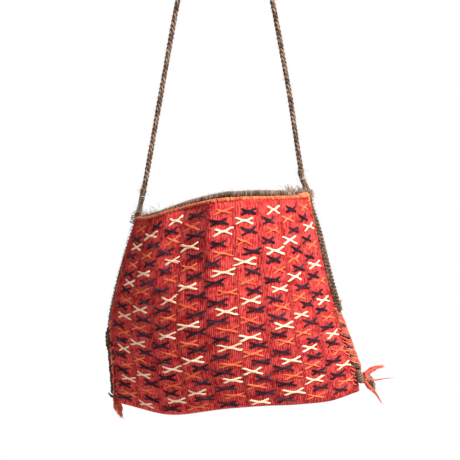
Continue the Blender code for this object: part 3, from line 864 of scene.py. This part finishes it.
def plaitSide(word, side):
    up = np.linspace(braid["lowest"], 1.0, 240)
    length = lengthAlong(seamFrame(side, up)[0])
    stations = int(length[-1] / braid["spacing"])
    even = np.linspace(0.0, length[-1], stations)
    up = np.interp(even, length, up)
    middle, outward, _, normal, _ = seamFrame(side, up)
    full = mix(braid["topWidth"], 1.0, eased((1.0 - up) / braid["topLength"]))[:, None]
    centre = middle + outward * braid["outward"][word] - normal * side * braid["forward"][word] * full
    facing = braid["facing"][word]
    wide = outward * math.cos(facing) - normal * side * math.sin(facing)
    deep = normal * math.cos(facing) + outward * side * math.sin(facing)
    routes, radii = [], []
    for strand in range(braid["strands"]):
        angle = 2.0 * math.pi * (even / braid["turn"] + strand / braid["strands"])
        sway = braid["sway"] * np.sin(angle)
        depth = braid["weaveDepth"] * np.sin(2.0 * angle)
        strandLine = centre + deep * depth[:, None] + wide * sway[:, None] * full
        for k in range(braid["yarnsAStrand"]):
            turn = 2.0 * math.pi * (even / braid["yarnTurn"] + k / braid["yarnsAStrand"] + strand * 0.2)
            routes.append(strandLine + circling(deep, wide, turn) * (braid["yarn"] * braid["yarnReach"]))
            uneven = 1.0 + 0.08 * np.sin(even * 900.0 + k * 2.0 + strand)
            radii.append(braid["yarn"] * full[:, 0] * uneven)
    addYarns(word + "Braid", routes, radii, "braid", [word + "_side_braid"])
    count = braid["hairs"]
    pick = chance.integers(0, stations, count)
    ways = outward[pick] * chance.uniform(-0.2, 1.0, (count, 1))
    ways = unit(ways + normal[pick] * chance.normal(size=(count, 1)))
    addHairs(word + "BraidHairs", centre[pick] + ways * braid["diameter"] * 0.38, ways, braid["hairLength"])


def seamYarn(word, side):
    # the thick yarn that joins front and back, behind the plait
    up = np.linspace(braid["lowest"] - 0.02, 0.995, 150)
    middle, outward, _, normal, _ = seamFrame(side, up)
    line = middle + (outward + normal * side) * braid["seamShift"]
    twistedPair(word + "SeamYarn", line, outward, normal, 0.50, np.full(len(up), braid["seamYarn"]), 0.75)


for word, side in sides.items():
    plaitSide(word, side)
seamYarn("right", sides["right"])
print("sides are plaited")


# Coloured wraps over the lower part of each seam

wraps = {
    "top": 0.45,
    "bottom": {"right": 0.12, "left": 0.07},
    "coralShare": 0.59,
    "coralShares": (0.86, 1.14),
    "grip": 0.0068,
    "gripAngle": 1.15,       # radians from the crown at which a turn begins to grip the cloth
    "crown": {"right": (0.0158, 0.0112), "left": (0.0062, 0.0070)},   # at the bottom and at the top
    "fullness": {"coral": (0.94, 1.06), "brown": (0.74, 1.0)},
    "back": {"right": 0.0, "left": 0.0026},    # the left wraps are turned to the back
    "yarn": {"coral": 0.00172, "brown": 0.00140},
    "turnPitch": 0.0031,
    # how much higher a turn lies in front than behind, and how far a block spreads at the crown,
    # in shares of a layer
    "slant": {"right": 0.125, "left": 0.078},
    "fan": {"coral": 0.019, "brown": -0.004},
    "shift": {"right": -0.028, "left": 0.0},
    "edgeYarn": {"right": 0.0013, "left": 0.0017},
    "edgeLump": {"right": 0.2, "left": 1.1},   # how much fuller the edge cord starts
    "cordBack": {"right": 0.0030, "left": -0.0030},
    "cordOut": {"right": 1.04, "left": 0.92},
    "plaitEase": 0.16,       # share of the edge cord that leads out of the plait
    # finish, least and most reach over the front, and count at the right and at the left; the dark stitches
    # are partly dark wool loops and partly a painted shadow in the gap between the cloth and the wraps
    "stitches": [("coral", 0.035, 0.062, {"right": 15, "left": 6}),
                 ("dark", 0.022, 0.044, {"right": 17, "left": 15})],
    "stitchTop": 0.36,
    "stitchBottom": 0.05,
    "stitchArch": 0.0016,
    "stitchYarn": 0.00135,
}


def wrapCrown(word, up):
    share = (up - wraps["bottom"][word]) / (wraps["top"] - wraps["bottom"][word])
    return mix(*wraps["crown"][word], share)


def wrapBlock(word, side, low, high, shade):
    # turns of one colour over the seam: fullest in the middle of the block
    ends = midCloth(side, np.array([low, high]))
    turns = max(2, round(np.linalg.norm(ends[1] - ends[0]) / wraps["turnPitch"]))
    full = chance.uniform(*wraps["fullness"][shade])
    t = shares(11)
    bend = math.pi * (t - 0.5)
    over = np.abs(bend) - wraps["gripAngle"]
    routes, radii = [], []
    tilt = wraps["slant"][word] * chance.uniform(0.86, 1.18)
    for turn in range(turns):
        share = (turn + 0.5) / turns
        up = mix(low, high, share) + tilt * (0.5 - t) * side + wraps["shift"][word]
        up = up + wraps["fan"][shade] * (share - 0.5) * np.cos(bend) ** 2
        middle, outward, _, normal, inside = seamFrame(side, up)
        yarn = wraps["yarn"][shade] * chance.uniform(0.82, 1.12)
        swell = full * (0.88 + 0.14 * math.sin(math.pi * share)) * chance.uniform(0.95, 1.04)
        crown = wrapCrown(word, mix(low, high, share)) * swell - yarn * 0.8
        grip = wraps["grip"] * chance.uniform(0.75, 1.25)
        out = np.where(over > 0.0, -grip * over / 0.42, crown * np.cos(bend))
        stand = (inside + yarn * 0.9) * np.sign(np.sin(bend)) * np.minimum(1.0, np.abs(np.sin(bend)) * 1.25)
        stand = stand * np.where(np.abs(t - 0.5) > 0.47, 0.75, 1.0)
        stand = stand + side * wraps["back"][word]
        routes.append(middle + outward * out[:, None] + normal * stand[:, None])
        radii.append(yarn * tapered(t, 0.3, 6))
    return routes, radii


def wrapSeam(word, side):
    pairs = sum(1 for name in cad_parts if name.startswith(word + "_coral_wrap_"))
    bottom = wraps["bottom"][word]
    pitch = (wraps["top"] - bottom) / pairs
    for i in range(pairs):
        low = bottom + pitch * i
        change = low + pitch * (1.0 - wraps["coralShare"] * chance.uniform(*wraps["coralShares"]))
        for shade, start, end in (("brown", low, change), ("coral", change, low + pitch)):
            routes, radii = wrapBlock(word, side, start, end, shade)
            addYarns(f"{word}{shade.capitalize()}Wrap{i + 1}", routes, radii, shade,
                     [f"{word}_{shade}_wrap_{i + 1}"])


def edgeCord(word, side):
    # the plait's end yarns run on down the outer edge, half hidden by the wraps
    up = np.linspace(wraps["top"] + 0.01, wraps["bottom"][word] - 0.012, 110)
    middle, outward, _, normal, _ = seamFrame(side, up)
    ease = shares(len(up))
    far = 1.0 - 0.10 * np.sin(ease * 12.0 * math.pi) - 0.55 * ease**6
    far = wrapCrown(word, up) * wraps["cordOut"][word] * far
    line = middle + outward * far[:, None] + normal * side * wraps["cordBack"][word]
    plaitEnd = middle + outward * braid["outward"][word] - normal * side * braid["forward"][word]
    line = mix(plaitEnd, line, eased(ease / wraps["plaitEase"])[:, None])
    lump = 1.0 + wraps["edgeLump"][word] * (1.0 - eased((ease - 0.22) / 0.16)) * eased(ease / 0.05)
    twistedPair(word + "EdgeCord", line, outward, normal, 0.55, wraps["edgeYarn"][word] * lump, 0.8)


def seamStitches(word, side, wool, least, most, count):
    # loose stitches that reach from the wraps onto the front
    routes, radii = [], []
    t = shares(7)
    for k in range(count):
        share = (k + chance.uniform(-0.35, 0.35)) / (count - 1.0)
        up = mix(wraps["stitchBottom"], wraps["stitchTop"], share)
        up = up + mix(0.010, -0.012, t) * chance.uniform(0.4, 1.3)
        across = side * (1.0 - mix(chance.uniform(least, most), 0.018, t))
        routes.append(stitchRoute(across, up, t, wraps["stitchArch"], 1.15))
        radii.append(wraps["stitchYarn"] * chance.uniform(0.8, 1.2) * tapered(t, 0.4, 3))
    addYarns(word + "SeamStitches" + wool.capitalize(), routes, radii, wool)


def coralEnd():
    # a short end of coral yarn sticks out where the plait gives way to the wraps
    middle, outward, rise, normal, _ = seamFrame(sides["right"], wraps["top"] + 0.012)
    s = shares(6)[:, None]
    start = middle - normal * 0.006 + outward * 0.005
    routes = []
    for _ in range(5):
        way = outward * 0.012 + rise * 0.011 - normal * 0.003 + chance.normal(scale=0.0011, size=3)
        routes.append(start + way * s + rise * 0.002 * s**2)
    addYarns("coralEnd", routes, [0.00075 * (1.0 - 0.5 * s[:, 0])] * 5, "coral")


coralEnd()
for word, side in sides.items():
    wrapSeam(word, side)
    edgeCord(word, side)
    # the dark stitches are partly dark wool and partly a painted shadow between the cloth and the wraps
    for wool, least, most, counts in wraps["stitches"]:
        seamStitches(word, side, wool, least, most, counts[word])
print("seams are wrapped")


# Corner knots, collars and tassels

tassels = {
    "knotWidth": 0.014,
    "knotLength": {"right": 0.028, "left": 0.01848},   # the left knot is half hidden by the corner
    "knotTurns": 8,
    "knotYarn": 0.0017,
    "collarWidth": 0.005,
    "collarDepth": 0.016,
    "collarLength": {"right": 0.024, "left": 0.01488},
    "collarTurns": 4,
    "collarYarn": 0.0010,
    "drop": {"right": 28.0, "left": 95.0},             # degrees from straight outward
    "inward": {"right": 0.0050, "left": 0.0125},
    "forward": {"right": 0.0060, "left": -0.0030},
    "raised": {"right": 0.0035, "left": 0.0},
    "gap": 0.0003,
    "yarn": 0.00062,
}
tufts = {   # finish, thickness, number of yarns, then steps outward, forward and up
    "right_upper_tuft": ("coral", 0.013, 52, [
        (0.0, -0.001, 0.0050), (0.009, 0.002, 0.015), (0.020, 0.009, 0.0245), (0.0335, 0.016, 0.0300)]),
    "right_brown_tuft": ("web", 0.0205, 120, [
        (0.0, -0.001, 0.001), (0.010, 0.001, -0.001), (0.0195, 0.003, -0.009), (0.0265, 0.006, -0.024)]),
    "right_thin_strand": ("coral", 0.0035, 6, [
        (0.0, 0.0048, 0.001), (0.013, 0.012, -0.002), (0.031, 0.023, 0.005), (0.052, 0.034, 0.0115)]),
    "right_lower_strand": ("coral", 0.0085, 30, [
        (0.0, 0.003, -0.008), (0.006, 0.010, -0.0165), (0.018, 0.016, -0.025), (0.040, 0.021, -0.047)]),
    "left_coral_tuft": ("coral", 0.018, 90, [
        (-0.003, 0.004, -0.001), (0.007, 0.004, -0.005), (0.016, 0.004, -0.0095), (0.028, 0.004, -0.0145)]),
    "left_brown_tuft": ("brown", 0.0085, 40, [
        (-0.008, 0.001, 0.002), (-0.0105, 0.001, 0.008), (-0.0125, 0.001, 0.0145),
        (-0.0165, 0.001, 0.0215)]),
}


def addWinding(name, winding, yarn, centre, axes, sizes, wool, node):
    # yarn wound round a smooth core, so that nothing shows through
    core = bmesh.new()
    bmesh.ops.create_uvsphere(core, u_segments=16, v_segments=10, radius=0.5)
    lump = meshFrom(core, "core")
    setPoints(lump, centre + getPoints(lump) * np.array(sizes) @ np.array(axes))
    bm = bmesh.new()
    for mesh in (lump, yarnMesh("winding", [winding], [yarn])):
        bm.from_mesh(mesh)
        bpy.data.meshes.remove(mesh)
    bmesh.ops.recalc_face_normals(bm, faces=bm.faces[:])
    addPiece(name, meshFrom(bm, name), wools[wool], [node])


def makeKnot(word, centre, outward, forward, rise, length):
    width, turns, yarn = tassels["knotWidth"], tassels["knotTurns"], tassels["knotYarn"]
    t = np.linspace(0.03, 0.97, turns * 14)
    reach = np.sin(math.pi * t) ** 0.7 * (width / 2.0 - yarn * 0.6)
    winding = centre + circling(outward, forward, 2.0 * math.pi * turns * t) * reach[:, None]
    winding = winding + rise * (np.cos(math.pi * t) * (length / 2.0 - yarn))[:, None]
    addWinding(word + "Knot", winding, yarn, centre, (outward, forward, rise),
               (width * 0.86, width * 0.86, length * 0.94), "brown", word + "_corner_knot")


def makeCollar(word, base, away, forward, above):
    width, turns, yarn = tassels["collarWidth"], tassels["collarTurns"], tassels["collarYarn"]
    deep = tassels["collarDepth"] / 2.0 - yarn
    tall = tassels["collarLength"][word] / 2.0 - yarn
    t = shares(turns * 18)
    bulge = 0.86 + 0.14 * np.sin(math.pi * t)
    ring = circling(forward * deep, above * tall, 2.0 * math.pi * turns * t) * bulge[:, None]
    ring = base + ring + away * (yarn + t * (width - 2 * yarn))[:, None]
    addWinding(word + "Collar", ring, yarn, base + away * width / 2.0, (away, forward, above),
               (width * 1.1, deep * 1.8, tall * 1.8), "coral", word + "_tassel_collar")


def makeTuft(node, start, away, forward, above):
    wool, thick, count, steps = tufts[node]
    points = start + np.array([away * out + forward * front + above * high for out, front, high in steps])
    s = shares(9)
    pinch = 0.62 + 0.38 * np.sin(math.pi * np.minimum(s * 1.2, 1.0)) - 0.45 * s**2
    routes, radii = [], []
    for k in range(count):
        angle, reach = k * 2.4, thick * 0.5 * math.sqrt((k + 0.5) / count)
        shift = (forward * math.cos(angle) + above * math.sin(angle)) * reach
        wave = chance.normal(scale=thick * 0.10, size=(len(s), 3)) * s[:, None]
        line = through(points, s * 2.0 * chance.uniform(0.72, 1.0) - 1.0)
        routes.append(line + shift * pinch[:, None] + wave)
        radii.append(tassels["yarn"] * chance.uniform(0.8, 1.2) * (1.0 - 0.75 * s**2))
    first, *others = node.split("_")
    name = first + "".join(part.capitalize() for part in others)
    addYarns(name, routes, radii, wool, [node])


def makeTassel(word, side):
    middle, outward, rise, normal, _ = seamFrame(side, wraps["bottom"][word])
    forward = normal * -side
    width, length, gap = tassels["knotWidth"], tassels["knotLength"][word], tassels["gap"]
    middle = middle - outward * tassels["inward"][word] + forward * tassels["forward"][word]
    middle = middle + rise * tassels["raised"][word]
    centre = middle + outward * (width / 2.0 + gap) - rise * (length / 2.0 + gap)
    makeKnot(word, centre, outward, forward, rise, length)

    turn = math.radians(tassels["drop"][word])
    away = outward * math.cos(turn) - rise * math.sin(turn)
    above = rise * math.cos(turn) + outward * math.sin(turn)
    base = centre + away * (math.hypot(width * math.cos(turn), length * math.sin(turn)) / 2.0 + gap)
    makeCollar(word, base, away, forward, above)
    for node in tufts:
        if node.startswith(word):
            makeTuft(node, base + away * (tassels["collarWidth"] - 0.001), away, forward, above)


for word, side in sides.items():
    makeTassel(word, side)
print("tassels hang")


# Strap: a twisted rope, with a frayed root at each corner of the mouth

strap = {
    "diameter": 0.011,
    "spacing": 0.0022,
    "strands": 3,
    "yarnsAStrand": 4,
    "lay": 0.026,            # length of one full twist
    "yarnLay": 0.018,
    "strandRadius": 0.0030,
    "yarn": 0.00140,
    "hairs": 1500,
    "hairLength": 0.006,
    "points": [
        (0.149, 0.039, -0.495), (0.143, 0.037, -0.459), (0.1365, 0.033, -0.418),
        (0.126, 0.028, -0.350), (0.112, 0.021, -0.275), (0.096, 0.013, -0.193),
        (0.081, 0.006, -0.125), (0.070, 0.002, -0.080), (0.058, 0.0, -0.044),
        (0.036, 0.0, -0.010), (0.0, 0.0, 0.0055), (-0.036, 0.0, -0.010),
        (-0.058, 0.0, -0.044), (-0.070, 0.002, -0.080), (-0.081, 0.006, -0.125),
        (-0.097, 0.013, -0.205), (-0.113, 0.021, -0.290), (-0.128, 0.028, -0.370),
        (-0.143, 0.035, -0.450), (-0.152, 0.041, -0.498), (-0.159, 0.046, -0.530),
    ],
}
roots = {
    "diameter": 0.014,
    "yarns": 16,
    "yarn": 0.0013,
    "neckStation": 8,        # of the 13 points along a root
    "neckDepth": 0.38,
    "gap": 0.0003,
    "ringTurns": 4.0,
    "ringReach": 0.36,       # of the diameter
    "ringYarn": 0.0011,
    "hairs": 170,
    "hairLength": 0.013,
    "frays": {"right": 150, "left": 60},
    "frayStep": 0.0030,
    "frayYarn": 0.00034,
    "threadTurns": 1.6,
    "thread": 0.0007,
    "paleLoops": 5,
    "paleReaches": (0.008, 0.0125),
    "darkLoops": {"right": 12, "left": 5},
    "darkReaches": (0.005, 0.0115),
    "darkYarn": 0.00075,
}


def evenLine(points, spacing):
    # even steps along the smooth curve through the points
    fine = through(points, np.linspace(-1.0, 1.0, 2000))
    length = lengthAlong(fine)
    even = np.linspace(0.0, length[-1], int(length[-1] / spacing) + 1)
    return np.stack([np.interp(even, length, fine[:, k]) for k in range(3)], axis=1), even


def aroundLine(line):
    # two directions square to the line that don't spin along it
    way = unit(np.gradient(line, axis=0))
    first = unit(np.cross(way, np.array([0.0, 1.0, 0.0])))
    return first, np.cross(way, first)


def makeRope():
    line, even = evenLine(strap["points"], strap["spacing"])
    first, second = aroundLine(line)
    routes, radii = [], []
    for strand in range(strap["strands"]):
        turn = -2.0 * math.pi * (even / strap["lay"] + strand / strap["strands"])
        aim, aside = circling(first, second, turn), circling(second, -first, turn)
        centre = line + aim * (strap["diameter"] / 2.0 - strap["strandRadius"])
        for k in range(strap["yarnsAStrand"]):
            spin = 2.0 * math.pi * (even / strap["yarnLay"] + k / strap["yarnsAStrand"])
            routes.append(centre + circling(aim, aside, spin) * (strap["strandRadius"] - strap["yarn"]))
            radii.append(strap["yarn"] * (1.0 + 0.07 * np.sin(even * 310.0 + k * 1.7 + strand)))
    rope = addYarns("strapRope", routes, radii, "rope", ["strap_rope"])
    pick = chance.integers(0, len(line), strap["hairs"])
    ways = circling(first[pick], second[pick], chance.uniform(0.0, 2.0 * math.pi, strap["hairs"]))
    hairs = addHairs("strapHairs", line[pick] + ways * strap["diameter"] * 0.42, ways, strap["hairLength"])
    return rope, hairs, line, even[-1]


def rootBody(line, first, second, s):
    # loose yarns gathered out of the plait and bound at the neck
    routes = []
    neck = 1.0 - roots["neckDepth"] * np.exp(-(((s - 0.62) / 0.16) ** 2))
    for k in range(roots["yarns"]):
        reach = roots["diameter"] * 0.42 * math.sqrt((k + 0.5) / roots["yarns"]) * neck
        wave = chance.normal(scale=0.0005, size=(len(s), 3))
        routes.append(line + circling(first, second, 2.4 * k + s * 2.6) * reach[:, None] + wave)
    return routes


def rootBinding(points):
    t = shares(60)
    core = through(points, mix(0.10, 0.42, t))
    ring = circling(*aroundLine(core), 2.0 * math.pi * roots["ringTurns"] * t)
    return core + ring * roots["diameter"] * roots["ringReach"]


def addFrays(word, side, rise):
    # worn ends of the back's edge, most of them near the corner
    routes = []
    for _ in range(roots["frays"][word]):
        across = side * (1.0 - 0.30 * chance.uniform() ** 1.5)
        begin = midCloth(across, -1.0) + rise * chance.uniform(0.0, 0.005)
        way = unit(rise * 0.7 + chance.normal(scale=0.7, size=3)) * roots["frayStep"]
        steps = way + chance.normal(scale=0.0016, size=(4, 3))
        points = begin + np.cumsum(np.vstack([np.zeros(3), steps]), axis=0)
        routes.append(through(points, np.linspace(-1.0, 1.0, 9)))
    addYarns(word + "Frays", routes, [roots["frayYarn"]] * len(routes), "fuzz",
             faces=4)


def looseLoop(start, bow, reaches, rise, low, rises):
    # out along the bow and back, while it climbs
    swing = bow * chance.uniform(*reaches)
    return start + swing + rise * ((shares(22) - low) * chance.uniform(*rises))[:, None]


def makeRoot(word, side, end, beyond):
    middle, outward, rise, normal, _ = seamFrame(side, 1.0)
    base = middle + outward * (roots["diameter"] / 2.0 + roots["gap"])
    end, beyond = np.array(end), np.array(beyond)
    leaves = unit(beyond - end)
    points = np.array([base, base + rise * 0.008, end - leaves * 0.010, end + leaves * 0.004])
    s = shares(13)
    line = through(points, s * 2.0 - 1.0)
    first, second = aroundLine(line)
    routes = rootBody(line, first, second, s) + [rootBinding(points)]
    radii = [roots["yarn"]] * roots["yarns"] + [roots["ringYarn"]]
    addYarns(word + "StrapRoot", routes, radii, "rope", [word + "_strap_root"])
    pick = chance.integers(0, len(line), roots["hairs"])
    ways = unit(chance.normal(size=(roots["hairs"], 3)))
    addHairs(word + "RootHairs", line[pick] + ways * 0.004, ways, roots["hairLength"])
    addFrays(word, side, rise)

    # a pale thread bound round the neck, and loose loops of it and of dark wool at the corner
    t = shares(22)
    bow = np.sin(math.pi * t)[:, None] * (outward * 0.6 - normal * side * 0.8)
    neck = roots["neckStation"]
    spin = 2.0 * math.pi * roots["threadTurns"] * t
    thread = line[neck] + circling(first[neck], second[neck], spin) * roots["diameter"] * 0.37
    routes = [thread + leaves * (0.004 * t - 0.002)[:, None]]
    for k in range(roots["paleLoops"]):
        start = base + outward * 0.003 + rise * (0.0042 * k - 0.010)
        routes.append(looseLoop(start, bow, roots["paleReaches"], rise, 0.3, (0.006, 0.011)))
    addYarns(word + "PaleLoops", routes, [roots["thread"]] * len(routes), "pale",
             faces=4)
    routes = []
    for _ in range(roots["darkLoops"][word]):
        start = base + outward * chance.uniform(0.0, 0.003) + rise * chance.uniform(-0.013, 0.008)
        routes.append(looseLoop(start, bow, roots["darkReaches"], rise, 0.4, (0.003, 0.009)))
    addYarns(word + "DarkLoops", routes, [roots["darkYarn"]] * len(routes), "rope",
             faces=4)


rope, ropeHairs, ropeLine, ropeLength = makeRope()
makeRoot("right", sides["right"], strap["points"][0], strap["points"][1])
makeRoot("left", sides["left"], strap["points"][-1], strap["points"][-2])
print("strap is twisted:", round(float(ropeLength), 3), "m")
